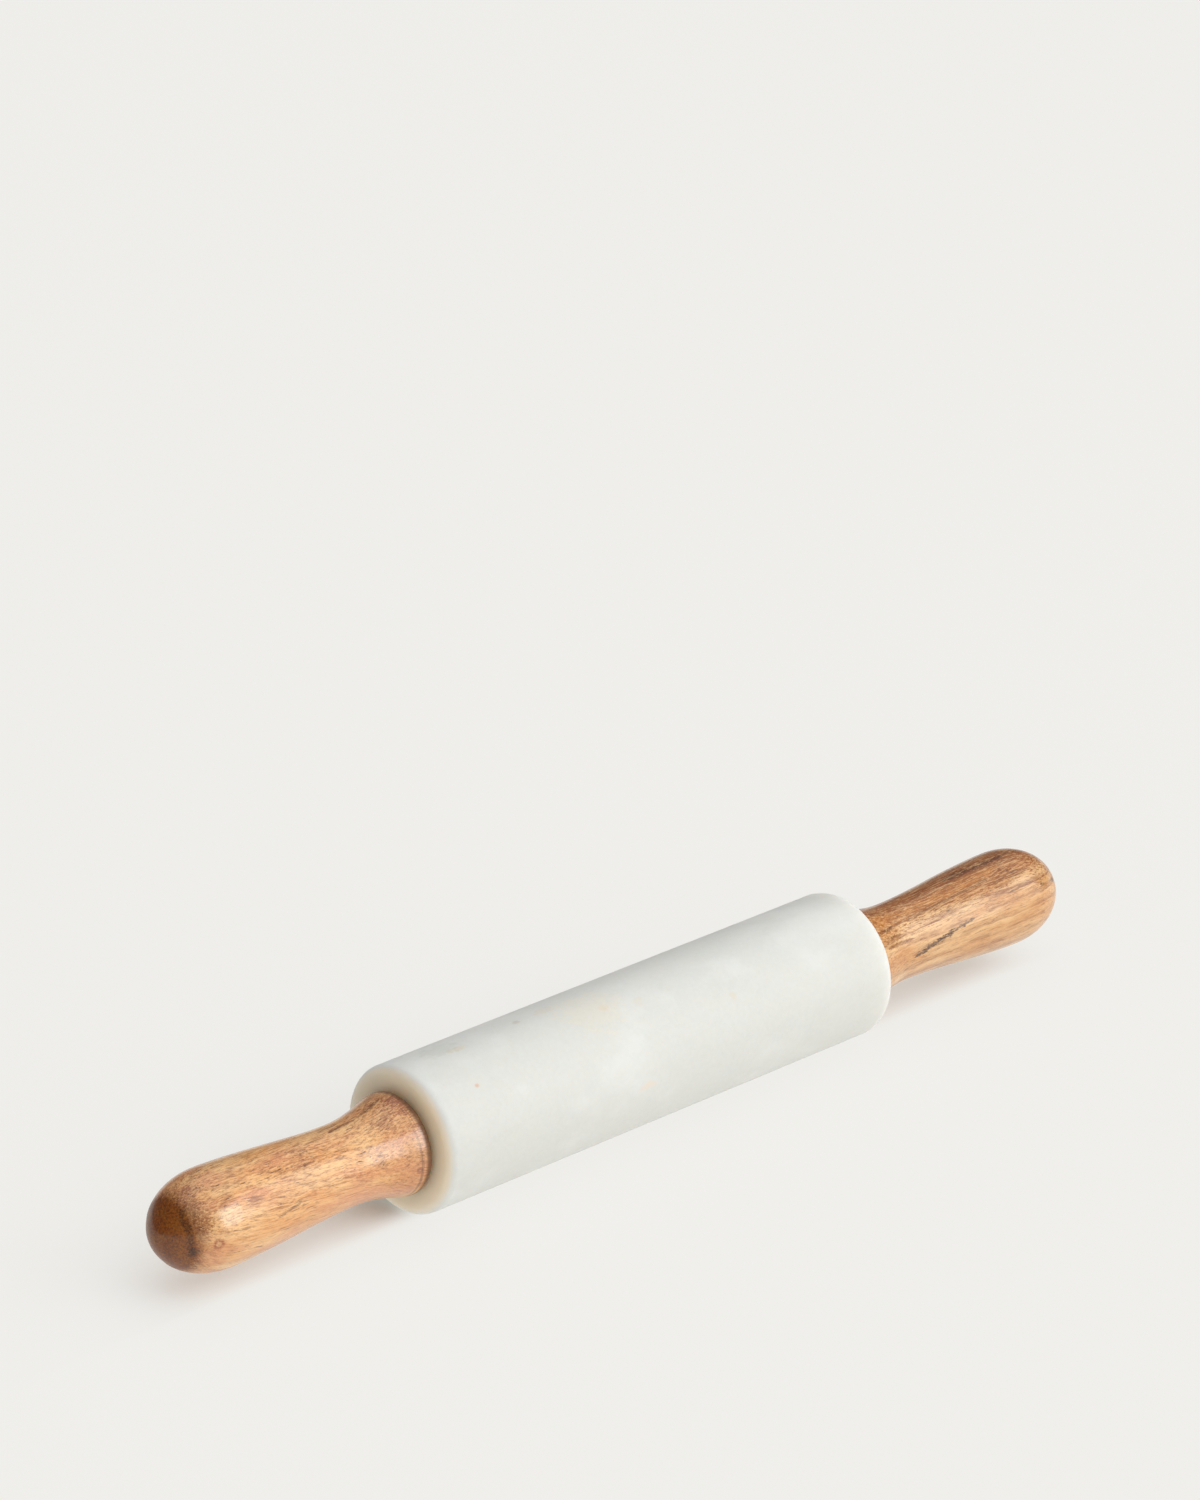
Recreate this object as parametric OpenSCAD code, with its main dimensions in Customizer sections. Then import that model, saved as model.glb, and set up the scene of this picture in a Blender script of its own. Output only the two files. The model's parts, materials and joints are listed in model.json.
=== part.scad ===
// Marble rolling pin: a marble barrel that spins on a steel rod between two turned handles.
// Millimetres. +X runs along the pin and +Z is up. The origin is on the table that the
// barrel lies on, under the middle of the barrel.

/* [Barrel] */
// Diameter of the marble barrel
barrel_d = 57; // [50:0.5:70]
// Length of the marble barrel from end face to end face
barrel_l = 229; // [180:1:300]
// Radius of the rounded rim at each end of the barrel
barrel_edge_r = 3.8; // [1:0.2:8]

/* [Rod] */
// Diameter of the steel rod that the barrel spins on
rod_d = 10; // [8:0.5:12]
// Width of the shoulder between the rod and its threaded end
shoulder_w = 1; // [0.5:0.1:1.5]
// How far the threaded end reaches past the insert
thread_past = 4; // [1:0.5:8]
// Chamfer on the rod's two ends
rod_chamfer = 0.8; // [0.2:0.1:1.5]

/* [Bushes] */
// Length of a bush behind its flange
bush_l = 20; // [10:1:40]
// Wall of a bush
bush_wall = 3; // [1.5:0.25:4]
// How far the flange stands out beyond the bush's wall
flange_w = 4; // [2:0.5:5]
// Thickness of the flange
flange_t = 2; // [1:0.25:3]
// How far the flange stands proud of the marble
flange_proud = 0.2; // [0.1:0.05:0.4]

/* [Washers] */
// Width of a washer's ring
washer_w = 5; // [3:0.5:6]
// Thickness of a washer
washer_t = 1.2; // [1:0.1:2]
// How deep a washer is let into the foot of its handle
washer_sink = 0.9; // [0.5:0.1:1]

/* [Inserts] */
// Length of the threaded insert in each handle
insert_l = 18; // [12:1:24]
// Wall of an insert
insert_wall = 2.2; // [1.5:0.1:3]
// Chamfer on an insert's inner end
insert_chamfer = 0.6; // [0.2:0.1:1]

/* [Handles] */
// Length of a handle from its foot to its round end
handle_l = 114; // [100:1:130]
// Diameter of the foot, next to the barrel
foot_d = 39; // [36:0.5:46]
// Radius of the foot's rounded rim
foot_edge_r = 1.5; // [0.5:0.1:3]
// Diameter of the neck, the thinnest place
neck_d = 30.6; // [26:0.2:34]
// Distance from the foot to the neck
neck_at = 27.6; // [20:0.2:36]
// Diameter of the belly, the thickest place of the grip
belly_d = 37.4; // [34:0.2:42]
// Distance from the foot to the belly
belly_at = 87.8; // [70:0.2:94]
// How far the drilled hole runs on past the end of the rod
hole_past = 1.5; // [0.5:0.5:4]

/* [Clearances] */
// Radial running clearance of the rod in the bushes
run_clear = 0.05; // [0.02:0.01:0.1]
// Radial clearance of pieces that are glued or screwed together
seat_clear = 0.05; // [0.02:0.01:0.2]
// Radial clearance of a washer, round the rod and in its recess
washer_clear = 0.3; // [0.1:0.05:0.5]
// End play of the barrel on each side
end_play = 0.3; // [0.2:0.05:0.8]

/* [Hidden] */
$fn = 96;

// Diameters, from the rod outwards
thread_d = rod_d - 2 * shoulder_w;
insert_bore_d = thread_d + 2 * seat_clear;
insert_d = insert_bore_d + 2 * insert_wall;
insert_hole_d = insert_d + 2 * seat_clear;
bush_bore_d = rod_d + 2 * run_clear;
bush_d = bush_bore_d + 2 * bush_wall;
flange_d = bush_d + 2 * flange_w;
barrel_bore_d = bush_d + 2 * seat_clear;
counterbore_d = flange_d + 2 * seat_clear;
washer_bore_d = rod_d + 2 * washer_clear;
washer_d = washer_bore_d + 2 * washer_w;
washer_recess_d = washer_d + 2 * washer_clear;

// Stations along the axis, from the middle of the barrel to the end of a handle
barrel_end = barrel_l / 2;
flange_face = barrel_end + flange_proud;
flange_back = flange_face - flange_t;
bush_start = flange_back - bush_l;
washer_face = flange_face + end_play;
shoulder_at = washer_face + washer_t;
foot_face = shoulder_at - washer_sink;
insert_end = shoulder_at + insert_l;
rod_end = insert_end + thread_past;
hole_end = rod_end + hole_past;

// Fullness of the handle's curves, each a share of the stretch that the curve spans
foot_pull = 0.21;
neck_in_pull = 0.56;
neck_out_pull = 0.25;
belly_in_pull = 0.30;
belly_out_pull = 0.73;
nose_pull = 0.30;

// Points in each curve of the handle's outline, and in its rounded rim
curve_points = 14;
rim_points = 5;

// How far a cut runs past the face that it opens
over = 1;

barrel_colour = "#ecebe5";
steel_colour = "#b4b6b8";
nylon_colour = "#f1efe6";
brass_colour = "#c9a557";
wood_colour = "#a97442";

// Points of a cubic curve after its first one
function curve(a, b, c, d, n) = [
    for (i = [1:n]) let (t = i / n, s = 1 - t)
        s * s * s * a + 3 * s * s * t * b + 3 * s * t * t * c + t * t * t * d
];

// Half outline of a handle, [radius, distance from the foot], as three curves that
// meet level at the neck and the belly
function handle_outline() =
    let (
        rim = [foot_d / 2, foot_edge_r],
        neck = [neck_d / 2, neck_at],
        belly = [belly_d / 2, belly_at],
        pole = [0, handle_l],
        to_neck = neck_at - foot_edge_r,
        to_belly = belly_at - neck_at,
        to_pole = handle_l - belly_at
    )
    concat(
        [[0, 0]],
        [for (i = [0:rim_points]) let (angle = 90 * i / rim_points)
            rim + foot_edge_r * [sin(angle) - 1, -cos(angle)]],
        curve(rim, rim + [0, foot_pull * to_neck],
            neck - [0, neck_in_pull * to_neck], neck, curve_points),
        curve(neck, neck + [0, neck_out_pull * to_belly],
            belly - [0, belly_in_pull * to_belly], belly, curve_points),
        curve(belly, belly + [0, belly_out_pull * to_pole],
            pole + [nose_pull * belly_d / 2, 0], pole, curve_points)
    );

// Turns what is drawn round Z onto the pin's axis, with Z along +X
module on_axis() {
    translate([0, 0, barrel_d / 2]) rotate([0, 90, 0]) children();
}

// The left half of the pin mirrors the right one
module on_left() {
    mirror([1, 0, 0]) on_axis() children();
}

// A round cut or rod between two stations along Z
module round_between(from, to, d) {
    translate([0, 0, from]) cylinder(h = to - from, d = d);
}

// Half outline of the barrel, with a rounded rim at both ends
module barrel_outline() {
    radius = barrel_d / 2;
    flat_end = barrel_end - barrel_edge_r;
    translate([0, -barrel_end]) square([radius - barrel_edge_r, barrel_l]);
    translate([0, -flat_end]) square([radius, 2 * flat_end]);
    for (side = [-1, 1])
        translate([radius - barrel_edge_r, side * flat_end]) circle(r = barrel_edge_r);
}

module marble_barrel() {
    color(barrel_colour)
    on_axis() difference() {
        rotate_extrude() barrel_outline();
        round_between(-barrel_end - over, barrel_end + over, barrel_bore_d);
        round_between(flange_back, barrel_end + over, counterbore_d);
        round_between(-barrel_end - over, -flange_back, counterbore_d);
    }
}

module threaded_end() {
    round_between(shoulder_at - over, rod_end - rod_chamfer, thread_d);
    translate([0, 0, rod_end - rod_chamfer])
        cylinder(h = rod_chamfer, d1 = thread_d, d2 = thread_d - 2 * rod_chamfer);
}

module axle_rod() {
    color(steel_colour)
    on_axis() {
        round_between(-shoulder_at, shoulder_at, rod_d);
        threaded_end();
        mirror([0, 0, 1]) threaded_end();
    }
}

// Flanged bush that lines one end of the barrel's bore
module bush() {
    color(nylon_colour)
    difference() {
        union() {
            round_between(bush_start, flange_back + flange_t / 2, bush_d);
            round_between(flange_back, flange_face, flange_d);
        }
        round_between(bush_start - over, flange_face + over, bush_bore_d);
    }
}

// Thrust washer between the bush's flange and the handle
module washer() {
    color(steel_colour)
    difference() {
        round_between(washer_face, shoulder_at, washer_d);
        round_between(washer_face - over, shoulder_at + over, washer_bore_d);
    }
}

// Threaded insert that stops against the rod's shoulder, its threads drawn plain
module insert() {
    color(brass_colour)
    difference() {
        union() {
            round_between(shoulder_at, insert_end - insert_chamfer, insert_d);
            translate([0, 0, insert_end - insert_chamfer])
                cylinder(h = insert_chamfer, d1 = insert_d, d2 = insert_d - 2 * insert_chamfer);
        }
        round_between(shoulder_at - over, insert_end + over, insert_bore_d);
    }
}

// Turned handle with a blind hole for the rod's end, the insert and the washer
module handle() {
    color(wood_colour)
    difference() {
        translate([0, 0, foot_face]) rotate_extrude() polygon(handle_outline());
        round_between(foot_face - over, shoulder_at, washer_recess_d);
        round_between(shoulder_at - over, insert_end, insert_hole_d);
        round_between(insert_end - over, hole_end, rod_d);
    }
}

marble_barrel();
axle_rod();
on_left() bush();  // left_bush
on_axis() bush();  // right_bush
on_left() washer();  // left_washer
on_axis() washer();  // right_washer
on_left() insert();  // left_insert
on_axis() insert();  // right_insert
on_left() handle();  // left_handle
on_axis() handle();  // right_handle
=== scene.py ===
# Marble rolling pin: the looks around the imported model. Blender units are metres.
import json
import math
import bpy
from mathutils import Matrix, Vector


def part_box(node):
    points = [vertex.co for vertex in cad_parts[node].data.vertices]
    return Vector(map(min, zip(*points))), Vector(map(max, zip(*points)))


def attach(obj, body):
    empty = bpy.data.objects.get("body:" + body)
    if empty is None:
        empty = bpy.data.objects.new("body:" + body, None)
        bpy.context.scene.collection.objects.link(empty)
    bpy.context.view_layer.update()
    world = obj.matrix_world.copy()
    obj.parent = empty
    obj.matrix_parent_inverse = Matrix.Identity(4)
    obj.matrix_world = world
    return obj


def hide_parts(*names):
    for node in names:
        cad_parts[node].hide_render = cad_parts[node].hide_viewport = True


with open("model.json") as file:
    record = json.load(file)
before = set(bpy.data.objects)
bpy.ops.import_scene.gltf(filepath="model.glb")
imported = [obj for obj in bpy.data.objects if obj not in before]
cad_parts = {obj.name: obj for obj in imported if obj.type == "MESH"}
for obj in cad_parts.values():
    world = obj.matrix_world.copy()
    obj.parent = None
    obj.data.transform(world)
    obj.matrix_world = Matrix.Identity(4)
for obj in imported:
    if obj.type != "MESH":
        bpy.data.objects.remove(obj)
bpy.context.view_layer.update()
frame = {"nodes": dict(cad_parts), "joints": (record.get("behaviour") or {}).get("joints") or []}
print("frame loaded")

mm = 0.001
axisZ = frame["joints"][0]["pos_m"][2]  # the barrel spins about this line, which runs along X


# Helpers

def toLinear(hexColour):
    # sRGB hex to the linear colour that a socket takes
    channels = [int(hexColour[i:i + 2], 16) / 255 for i in (1, 3, 5)]
    return [c / 12.92 if c <= 0.04045 else ((c + 0.055) / 1.055) ** 2.4 for c in channels] + [1]


def addNode(tree, kind, inputs=None, **settings):
    # a value is set on its socket and a socket is linked to it
    node = tree.nodes.new(kind)
    for name, value in settings.items():
        setattr(node, name, value)
    for socket, value in (inputs or {}).items():
        if isinstance(value, bpy.types.NodeSocket):
            tree.links.new(value, node.inputs[socket])
        else:
            node.inputs[socket].default_value = value
    return node


def newMaterial(name):
    material = bpy.data.materials.new(name)
    material.use_nodes = True
    material.node_tree.nodes.clear()
    return material, material.node_tree


def closeMaterial(tree, shader):
    addNode(tree, "ShaderNodeOutputMaterial", {"Surface": shader})


def remap(tree, value, low, high, toLow=0.0, toHigh=1.0):
    # a smooth step from one limit to the other
    return addNode(tree, "ShaderNodeMapRange",
                   {"Value": value, "From Min": low, "From Max": high, "To Min": toLow, "To Max": toHigh},
                   interpolation_type="SMOOTHSTEP").outputs[0]


def times(tree, a, b):
    return addNode(tree, "ShaderNodeMath", {0: a, 1: b}, operation="MULTIPLY").outputs[0]


# Camera, light and floor

camera = {
    "place": (-1.5286, -1.5732, 1.0404),
    "heading": 46.08,  # degrees from +X towards +Y
    "pitch": 22.13,  # degrees down
    "lens": 156.0,  # mm
    "film": 36.0,  # mm, height of the frame behind the lens
    "farthest": 100.0,  # m that it sees
}
light = {
    # soft white panels on the camera's right: degrees from +X and above the floor, degrees wide and tall,
    # and brightness, where 1 is white
    "panels": [
        {"name": "softbox", "from": -70.0, "height": 20.0, "wide": 28.0, "tall": 38.0, "glow": 3.9},
        {"name": "reflector", "from": -42.0, "height": 20.0, "wide": 28.0, "tall": 40.0, "glow": 1.3},
    ],
    "away": 5.0,  # m from the pin to the panels
    "wall": 0.2,  # brightness of the wall behind the pin
    "wallFrom": 60.0,
    "wallEdge": (0.5, 0.85),  # cosines off its middle where it starts and where it is full, like the others
    "wallTop": (0.70, 0.60),  # sines of the heights where it ends and where it is full
    "front": 0.45,  # paler wall on the camera's side
    "frontFrom": -115.0,
    "frontEdge": (0.2, 0.9),
    "ceiling": 1.45,  # large soft panel overhead, leaning to the right
    "ceilingFrom": -20.0,
    "ceilingHeight": 70.0,
    "ceilingEdge": (0.55, 0.90),
    "room": 0.18,  # the rest, on the camera's left
    "shine": 0.4,  # share of the studio that what shines is shown, so that oiled wood keeps its depth
    "backdrop": 0.08,  # share of the pale backdrop that it is shown
}
floorColour = "#F0EFEB"
floorShade = {
    "far": 0.15,  # share of its shading that shows
    "close": 1.0,  # the same in the pin's shadow, close to it
    "reach": 0.14,  # m within which the pin covers the sky
    "clear": (0.3, 0.90),  # shares of open sky that count as close to the pin and as far off
    "lit": (0.1, -0.85, 0.5),  # the side that the light comes from, where open sky is counted
    "rays": 16,  # for that count
    "front": (0.008, -0.010),  # m behind the pin's middle: its shading fades from the first to the second
    "bounce": 0.8,  # how even the light is that the floor gives back
    "size": 40.0,  # m from its middle to its edges
}


def makeCamera():
    data = bpy.data.cameras.new("camera")
    data.sensor_fit = "VERTICAL"
    data.sensor_height = camera["film"]
    data.lens = camera["lens"]
    data.clip_end = camera["farthest"]
    obj = bpy.data.objects.new("camera", data)
    obj.location = camera["place"]
    obj.rotation_euler = (math.radians(90 - camera["pitch"]), 0, math.radians(camera["heading"] - 90))
    bpy.context.scene.collection.objects.link(obj)
    bpy.context.scene.camera = obj


def makePanel(panel):
    away, heading, height = light["away"], math.radians(panel["from"]), math.radians(panel["height"])
    lamp = bpy.data.lights.new(panel["name"], "AREA")
    lamp.shape = "RECTANGLE"
    lamp.size = 2 * away * math.tan(math.radians(panel["wide"] / 2))
    lamp.size_y = 2 * away * math.tan(math.radians(panel["tall"] / 2))
    lamp.energy = panel["glow"] * math.pi * lamp.size * lamp.size_y
    obj = bpy.data.objects.new(panel["name"], lamp)
    flat = away * math.cos(height)
    obj.location = (flat * math.cos(heading), flat * math.sin(heading), away * math.sin(height))
    obj.rotation_euler = (math.pi / 2 - height, 0, heading + math.pi / 2)
    obj.visible_camera = False
    bpy.context.scene.collection.objects.link(obj)


def makeWorld():
    # a studio: grey wall behind, white panel overhead, pale wall on the camera's side and a dark side on
    # its left. The camera is shown the pale backdrop instead
    world = bpy.data.worlds.new("studio")
    bpy.context.scene.world = world
    world.use_nodes = True
    tree = world.node_tree
    tree.nodes.clear()
    direction = addNode(tree, "ShaderNodeTexCoord").outputs["Generated"]
    up = addNode(tree, "ShaderNodeSeparateXYZ", {0: direction}).outputs["Z"]

    def towards(heading, height=0.0):
        flat = math.cos(math.radians(height))
        side = (flat * math.cos(math.radians(heading)), flat * math.sin(math.radians(heading)),
                math.sin(math.radians(height)))
        return addNode(tree, "ShaderNodeVectorMath", {0: direction, 1: side},
                       operation="DOT_PRODUCT").outputs["Value"]

    room = light["room"]
    wall = remap(tree, towards(light["wallFrom"]), *light["wallEdge"])
    wall = times(tree, wall, remap(tree, up, *light["wallTop"]))
    wall = times(tree, wall, light["wall"] - room)
    front = remap(tree, towards(light["frontFrom"]), *light["frontEdge"], 0.0, light["front"] - room)
    ceiling = remap(tree, towards(light["ceilingFrom"], light["ceilingHeight"]), *light["ceilingEdge"],
                    room, light["ceiling"])
    glow = addNode(tree, "ShaderNodeMath", {0: wall, 1: front}, operation="ADD")
    glow = addNode(tree, "ShaderNodeMath", {0: glow.outputs[0], 1: ceiling}, operation="ADD")
    path = addNode(tree, "ShaderNodeLightPath").outputs
    glow = times(tree, glow.outputs[0], remap(tree, path["Is Glossy Ray"], 0.0, 1.0, 1.0, light["shine"]))
    studio = addNode(tree, "ShaderNodeBackground", {"Color": (1, 1, 1, 1), "Strength": glow})
    pale = addNode(tree, "ShaderNodeBackground", {"Color": toLinear(floorColour), "Strength": 1.0})
    seen = addNode(tree, "ShaderNodeMath", {0: path["Is Camera Ray"], 1: path["Is Transmission Ray"]},
                   operation="MAXIMUM")
    seen = addNode(tree, "ShaderNodeMath", {0: times(tree, path["Is Glossy Ray"], light["backdrop"]),
                                            1: seen.outputs[0]}, operation="MAXIMUM")
    mix = addNode(tree, "ShaderNodeMixShader", {0: seen.outputs[0], 1: studio.outputs[0],
                                                2: pale.outputs[0]})
    addNode(tree, "ShaderNodeOutputWorld", {"Surface": mix.outputs[0]})


def makeFloor():
    # matt paint, but the camera, glass and what shines are shown it in one even colour with only part of
    # its shading: all of it close behind the pin, and hardly any in front of the pin's middle
    size = floorShade["size"]
    mesh = bpy.data.meshes.new("floor")
    corners = [(-size, -size, 0), (size, -size, 0), (size, size, 0), (-size, size, 0)]
    mesh.from_pydata(corners, [], [(0, 1, 2, 3)])
    obj = bpy.data.objects.new("floor", mesh)
    bpy.context.scene.collection.objects.link(obj)
    material, tree = newMaterial("matt_painted_floor")
    matt = addNode(tree, "ShaderNodeBsdfDiffuse", {"Color": toLinear(floorColour)})
    even = addNode(tree, "ShaderNodeEmission", {"Color": toLinear(floorColour), "Strength": 1.0})
    path = addNode(tree, "ShaderNodeLightPath").outputs
    seen = addNode(tree, "ShaderNodeMath", {0: path["Is Camera Ray"], 1: path["Is Glossy Ray"]},
                   operation="MAXIMUM")
    seen = addNode(tree, "ShaderNodeMath", {0: seen.outputs[0], 1: path["Is Transmission Ray"]},
                   operation="MAXIMUM")
    x, y, z = floorShade["lit"]
    lit = addNode(tree, "ShaderNodeCombineXYZ", {"X": x, "Y": y, "Z": z}).outputs[0]
    clear = addNode(tree, "ShaderNodeAmbientOcclusion", {"Distance": floorShade["reach"],
                                                         "Normal": lit}, samples=floorShade["rays"])
    share = remap(tree, clear.outputs["AO"], *floorShade["clear"],
                  1 - floorShade["close"], 1 - floorShade["far"])
    back = addNode(tree, "ShaderNodeTexCoord").outputs["Object"]
    back = addNode(tree, "ShaderNodeSeparateXYZ", {0: back}).outputs["Y"]
    front = remap(tree, back, *floorShade["front"], 0.0, 1 - floorShade["far"] / 2)
    share = addNode(tree, "ShaderNodeMath", {0: share, 1: front}, operation="MAXIMUM").outputs[0]
    evenness = remap(tree, seen.outputs[0], 0.0, 1.0, floorShade["bounce"], share)
    mix = addNode(tree, "ShaderNodeMixShader", {0: evenness, 1: matt.outputs[0], 2: even.outputs[0]})
    closeMaterial(tree, mix.outputs[0])
    material.cycles.emission_sampling = "NONE"
    mesh.materials.append(material)


makeCamera()
for panel in light["panels"]:
    makePanel(panel)
makeWorld()
makeFloor()
print("camera, light and floor made")


# Turning on a lathe: a half outline, swept round the pin's axis

def drawOutline(name, points, closed, steps):
    # each point is (along, radius, pull before it, pull after it) in mm, and no pulls is a corner
    curve = bpy.data.curves.new(name, "CURVE")
    curve.dimensions = "3D"
    curve.resolution_u = steps
    spline = curve.splines.new("BEZIER")
    spline.bezier_points.add(len(points) - 1)
    spline.use_cyclic_u = closed
    for knot, (along, radius, pullIn, pullOut) in zip(spline.bezier_points, points):
        place = Vector((radius, -along, 0)) * mm
        knot.co = place
        knot.handle_left_type = "FREE" if pullIn else "VECTOR"
        knot.handle_right_type = "FREE" if pullOut else "VECTOR"
        if pullIn:
            knot.handle_left = place + Vector((pullIn[1], -pullIn[0], 0)) * mm
        if pullOut:
            knot.handle_right = place + Vector((pullOut[1], -pullOut[0], 0)) * mm
    obj = bpy.data.objects.new(name, curve)
    bpy.context.scene.collection.objects.link(obj)
    return obj


def addInput(tree, name, kind, value=None):
    socket = tree.interface.new_socket(name, in_out="INPUT", socket_type=kind)
    if value is not None:
        socket.default_value = value


def makeLatheTree():
    tree = bpy.data.node_groups.new("lathe", "GeometryNodeTree")
    addInput(tree, "Outline", "NodeSocketGeometry")
    addInput(tree, "Steps Round", "NodeSocketInt", 160)
    addInput(tree, "Axis Height", "NodeSocketFloat", 0.0)
    addInput(tree, "Hollow Depth", "NodeSocketFloat", 0.0)
    addInput(tree, "Hollow Width", "NodeSocketFloat", 0.03)
    addInput(tree, "Core Radius", "NodeSocketFloat", 0.0)
    addInput(tree, "Seed", "NodeSocketFloat", 1.0)
    addInput(tree, "Material", "NodeSocketMaterial")
    tree.interface.new_socket("Mesh", in_out="OUTPUT", socket_type="NodeSocketGeometry")
    given = addNode(tree, "NodeGroupInput").outputs

    spindle = 0.001  # radius of the ring that carries the outline, taken off the outline again
    weld = 0.00001  # closes the poles and the seam
    sharpAngle = math.radians(40)
    ring = addNode(tree, "GeometryNodeCurvePrimitiveCircle",
                   {"Resolution": given["Steps Round"], "Radius": spindle})
    shifted = addNode(tree, "GeometryNodeTransform",
                      {"Geometry": given["Outline"], "Translation": (-spindle, 0, 0)})
    swept = addNode(tree, "GeometryNodeCurveToMesh",
                    {"Curve": ring.outputs[0], "Profile Curve": shifted.outputs[0]})
    closed = addNode(tree, "GeometryNodeMergeByDistance",
                     {"Geometry": swept.outputs[0], "Distance": weld})

    # hand sanding leaves shallow hollows in what the chisel left round
    place = addNode(tree, "GeometryNodeInputPosition")
    apart = addNode(tree, "ShaderNodeSeparateXYZ", {0: place.outputs[0]})
    flat = addNode(tree, "ShaderNodeCombineXYZ", {"X": apart.outputs["X"], "Y": apart.outputs["Y"]})
    radius = addNode(tree, "ShaderNodeVectorMath", {0: flat.outputs[0]}, operation="LENGTH")
    outside = addNode(tree, "FunctionNodeCompare", {0: radius.outputs["Value"], 1: given["Core Radius"]},
                      data_type="FLOAT", operation="GREATER_THAN")
    pitch = addNode(tree, "ShaderNodeMath", {0: 1.0, 1: given["Hollow Width"]}, operation="DIVIDE")
    hollows = addNode(tree, "ShaderNodeTexNoise",
                      {"Vector": place.outputs[0], "W": given["Seed"], "Scale": pitch.outputs[0],
                       "Detail": 1.0}, noise_dimensions="4D")
    depth = addNode(tree, "ShaderNodeMath", {0: hollows.outputs[0], 1: given["Hollow Depth"]},
                    operation="MULTIPLY")
    inward = addNode(tree, "ShaderNodeMath", {0: depth.outputs[0], 1: -1.0}, operation="MULTIPLY")
    normal = addNode(tree, "GeometryNodeInputNormal")
    offset = addNode(tree, "ShaderNodeVectorMath",
                     {0: normal.outputs[0], "Scale": inward.outputs[0]}, operation="SCALE")
    sanded = addNode(tree, "GeometryNodeSetPosition",
                     {"Geometry": closed.outputs[0], "Selection": outside.outputs[0],
                      "Offset": offset.outputs[0]})

    # lay the axis along X at its height, and shade it smooth up to its sharp corners
    height = addNode(tree, "ShaderNodeCombineXYZ", {"Z": given["Axis Height"]})
    laid = addNode(tree, "GeometryNodeTransform",
                   {"Geometry": sanded.outputs[0], "Rotation": (0, math.pi / 2, 0),
                    "Translation": height.outputs[0]})
    smooth = addNode(tree, "GeometryNodeSetShadeSmooth", {"Geometry": laid.outputs[0]}, domain="FACE")
    angle = addNode(tree, "GeometryNodeInputMeshEdgeAngle")
    corner = addNode(tree, "FunctionNodeCompare", {0: angle.outputs[0], 1: sharpAngle},
                     data_type="FLOAT", operation="GREATER_THAN")
    crisp = addNode(tree, "GeometryNodeSetShadeSmooth",
                    {"Geometry": smooth.outputs[0], "Selection": corner.outputs[0],
                     "Shade Smooth": False}, domain="EDGE")
    real = addNode(tree, "GeometryNodeRealizeInstances", {"Geometry": crisp.outputs[0]})
    dressed = addNode(tree, "GeometryNodeSetMaterial",
                      {"Geometry": real.outputs[0], "Material": given["Material"]})
    addNode(tree, "NodeGroupOutput", {0: dressed.outputs[0]})
    return tree


latheTree = makeLatheTree()


def turn(name, outline, values):
    # runs the lathe on an outline and keeps its result as a plain mesh
    modifier = outline.modifiers.new("lathe", "NODES")
    modifier.node_group = latheTree
    for socket in latheTree.interface.items_tree:
        if socket.in_out == "INPUT" and socket.name in values:
            modifier[socket.identifier] = values[socket.name]
    evaluated = outline.evaluated_get(bpy.context.evaluated_depsgraph_get())
    mesh = bpy.data.meshes.new_from_object(evaluated)
    mesh.name = name
    outline.modifiers.remove(modifier)
    bpy.data.objects.remove(outline)
    obj = bpy.data.objects.new(name, mesh)
    bpy.context.scene.collection.objects.link(obj)
    return obj


# Materials, in millimetres on each piece's own Object coordinates

def makeMillimetres(tree):
    coords = addNode(tree, "ShaderNodeTexCoord")
    scaled = addNode(tree, "ShaderNodeVectorMath", {0: coords.outputs["Object"], "Scale": 1 / mm},
                     operation="SCALE")
    return scaled.outputs[0], coords.outputs["Normal"]


def stretch(tree, place, along, across):
    # divides a place by the size that the pattern has along the pin and across it
    return addNode(tree, "ShaderNodeVectorMath", {0: place, 1: (1 / along, 1 / across, 1 / across)},
                   operation="MULTIPLY").outputs[0]


def noiseOf(tree, place, along, across, detail, roughness, seed, piece=0.0):
    # sizes in mm, and a number of the piece's own, which makes the same noise fall differently on it
    spot = stretch(tree, place, along, across)
    return addNode(tree, "ShaderNodeTexNoise",
                   {"Vector": spot, "W": seed + piece, "Scale": 1.0, "Detail": detail,
                    "Roughness": roughness}, noise_dimensions="4D").outputs[0]


def centred(tree, noise, height):
    # a noise of 0 to 1, moved to lie round 0
    noise = addNode(tree, "ShaderNodeMath", {0: noise, 1: 0.5}, operation="SUBTRACT")
    return times(tree, noise.outputs[0], height)


def tint(tree, amount, under, over, blend="MIX"):
    # colours are hex strings or sockets
    under, over = [toLinear(c) if isinstance(c, str) else c for c in (under, over)]
    node = addNode(tree, "ShaderNodeMix", {0: amount, 6: under, 7: over}, data_type="RGBA",
                   blend_type=blend)
    return node.outputs[2]


def onSurface(spot):
    # a spot on a turned surface: how far along, degrees up from the front, and the radius there
    along, up, radius = spot
    turned = math.radians(up)
    return Vector((along, -radius * math.cos(turned), axisZ / mm + radius * math.sin(turned)))


def bumpOf(tree, height, bump, invert=False):
    strength, depth = bump
    return addNode(tree, "ShaderNodeBump", {"Height": height, "Strength": strength, "Distance": depth},
                   invert=invert).outputs[0]


def varied(tree, noise, limits):
    # spreads what a noise mostly holds between two limits
    return remap(tree, noise, 0.3, 0.7, *limits)


softEdge = (1.5, 0.7)  # a mark fades in between these shares of its half width


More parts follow.
